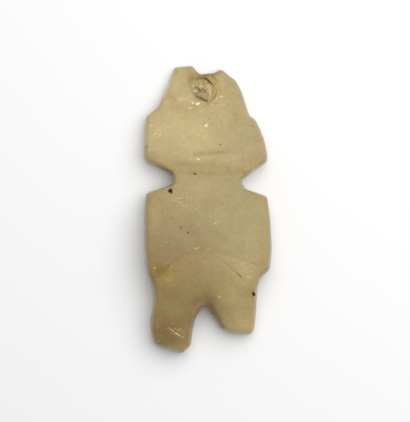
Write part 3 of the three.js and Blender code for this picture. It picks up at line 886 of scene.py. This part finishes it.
def add_node(tree, kind, inputs=None, **settings):
    """A shader node. An input is a value, or the output socket that feeds it."""
    made = tree.nodes.new(kind)
    for name, value in settings.items():
        setattr(made, name, value)
    for name, value in (inputs or {}).items():
        if isinstance(value, bpy.types.NodeSocket):
            tree.links.new(value, made.inputs[name])
        else:
            made.inputs[name].default_value = value
    return made


def noise_node(tree, place, size, detail=4):
    """Noise with features of that size in millimetres."""
    inputs = {"Vector": place, "Scale": 1 / (size * MM), "Detail": detail}
    return add_node(tree, "ShaderNodeTexNoise", inputs).outputs["Fac"]


def shade(tree, colour, value, share):
    """The colour, darker by that share where value is low, and lighter where it is high."""
    inputs = {"Value": value, "From Min": CLOUD_LOW, "From Max": CLOUD_HIGH}
    inputs.update({"To Min": 1 - share, "To Max": 1 + share})
    scale = add_node(tree, "ShaderNodeMapRange", inputs)
    inputs = {0: colour, "Scale": scale.outputs[0]}
    scaled = add_node(tree, "ShaderNodeVectorMath", inputs, operation="SCALE")
    return scaled.outputs[0]


def mottle(tree, colour, tone, mask_name, value, start, end):
    """The colour moved towards a tone where the mask allows it and value rises past start."""
    allowed = add_node(tree, "ShaderNodeAttribute", attribute_name=mask_name).outputs["Fac"]
    spots = add_node(tree, "ShaderNodeMapRange", {"Value": value, "From Min": start, "From Max": end})
    amount = add_node(tree, "ShaderNodeMath", {0: allowed, 1: spots.outputs[0]}, operation="MULTIPLY")
    # The colour mix has its factor in socket 0, its colours in 6 and 7, and its result in 2
    inputs = {0: amount.outputs[0], 6: colour, 7: (*tone, 1)}
    mixed = add_node(tree, "ShaderNodeMix", inputs, data_type="RGBA")
    return mixed.outputs[2]


def stone_material():
    """Pale waxy stone: its painted colour, finer variation, and a little light in it."""
    material = bpy.data.materials.new("stone")
    material.use_nodes = True
    tree = material.node_tree
    shader = tree.nodes["Principled BSDF"]
    place = add_node(tree, "ShaderNodeTexCoord").outputs["Object"]
    colour = add_node(tree, "ShaderNodeAttribute", attribute_name="tone").outputs["Color"]
    for size, detail, share in CLOUDS:
        colour = shade(tree, colour, noise_node(tree, place, size, detail), share)
    for name, _, tone, size, start, end in MOTTLES:
        value = noise_node(tree, place, size, SPOT_DETAIL)
        colour = mottle(tree, colour, tone, name, value, start, end)
    grit = noise_node(tree, place, GRIT_SIZE)
    inputs = {"Height": grit, "Strength": GRIT_STRENGTH, "Distance": GRIT_HEIGHT * MM}
    relief = add_node(tree, "ShaderNodeBump", inputs)
    tree.links.new(colour, shader.inputs["Base Color"])
    tree.links.new(relief.outputs["Normal"], shader.inputs["Normal"])
    shader.inputs["Roughness"].default_value = STONE_ROUGHNESS
    shader.inputs["Subsurface Weight"].default_value = GLOW
    shader.inputs["Subsurface Radius"].default_value = GLOW_SPREAD
    shader.inputs["Subsurface Scale"].default_value = GLOW_DEPTH * MM
    return material


def plain_material(name, tone, roughness):
    material = bpy.data.materials.new(name)
    material.use_nodes = True
    shader = material.node_tree.nodes["Principled BSDF"]
    shader.inputs["Base Color"].default_value = (*tone, 1)
    shader.inputs["Roughness"].default_value = roughness
    return material


def make_figurine(node, low, high):
    """The whole figure: the CAD solid as a fine mesh, painted and then carved."""
    figurine = even_mesh(node)
    mesh = figurine.data
    refine(mesh)
    points = mesh_points(mesh)
    normals = mesh_points(mesh, "normal")
    front = front_of(points, normals)
    paint(mesh, stone_colour(points, normals))
    for name, places, *_ in MOTTLES:
        mask(mesh, name, front * patches(points, places))
    displace(mesh)
    keep_in_box(mesh, low, high)
    mesh.transform(Matrix.Scale(MM, 4))
    mesh.shade_smooth()
    mesh.materials.clear()
    mesh.materials.append(stone_material())
    return figurine


def make_floor():
    """The white table that the figure lies on."""
    bpy.ops.mesh.primitive_plane_add(size=TABLE_SIZE)
    floor = bpy.context.object
    floor.name = "table"
    floor.data.materials.append(plain_material("white_table", TABLE_TONE, TABLE_ROUGHNESS))
    return floor


def make_light():
    """A wide soft light from the upper right, and the pale room round it."""
    lamp = bpy.data.lights.new("window", "AREA")
    lamp.shape = "DISK"
    lamp.size = 2 * LIGHT_DISTANCE * math.tan(LIGHT_WIDTH / 2)
    lamp.energy = LIGHT_POWER
    light = bpy.data.objects.new("window", lamp)
    towards = Vector((math.cos(LIGHT_TURN), math.sin(LIGHT_TURN), math.tan(LIGHT_RISE))).normalized()
    light.location = towards * LIGHT_DISTANCE
    light.rotation_euler = towards.to_track_quat("Z", "Y").to_euler()
    bpy.context.scene.collection.objects.link(light)
    world = bpy.data.worlds.new("room")
    world.use_nodes = True
    world.node_tree.nodes["Background"].inputs["Color"].default_value = (1, 1, 1, 1)
    world.node_tree.nodes["Background"].inputs["Strength"].default_value = ROOM_LIGHT
    bpy.context.scene.world = world


def make_camera():
    """A camera straight above that sees as much of the table as the photograph."""
    lens = bpy.data.cameras.new("camera")
    lens.sensor_width = SENSOR / MM
    lens.lens = lens.sensor_width * CAMERA_HEIGHT / (max(WIDTH, HEIGHT) * PIXEL)
    lens.clip_end = CAMERA_REACH
    camera = bpy.data.objects.new("camera", lens)
    camera.location = AIM + Vector((0, 0, CAMERA_HEIGHT))
    bpy.context.scene.collection.objects.link(camera)
    bpy.context.scene.camera = camera


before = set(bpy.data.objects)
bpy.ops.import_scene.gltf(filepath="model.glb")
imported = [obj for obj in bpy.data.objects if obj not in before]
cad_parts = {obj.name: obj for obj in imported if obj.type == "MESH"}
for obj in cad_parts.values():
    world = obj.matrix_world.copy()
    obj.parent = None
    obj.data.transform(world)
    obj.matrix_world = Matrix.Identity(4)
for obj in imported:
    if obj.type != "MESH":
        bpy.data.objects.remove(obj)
cad_low, cad_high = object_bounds()

figurine = make_figurine(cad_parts["figurine"], cad_low, cad_high)
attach(figurine, "root")
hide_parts("figurine")

make_floor()
make_light()
make_camera()
bpy.context.scene.view_settings.view_transform = "Standard"
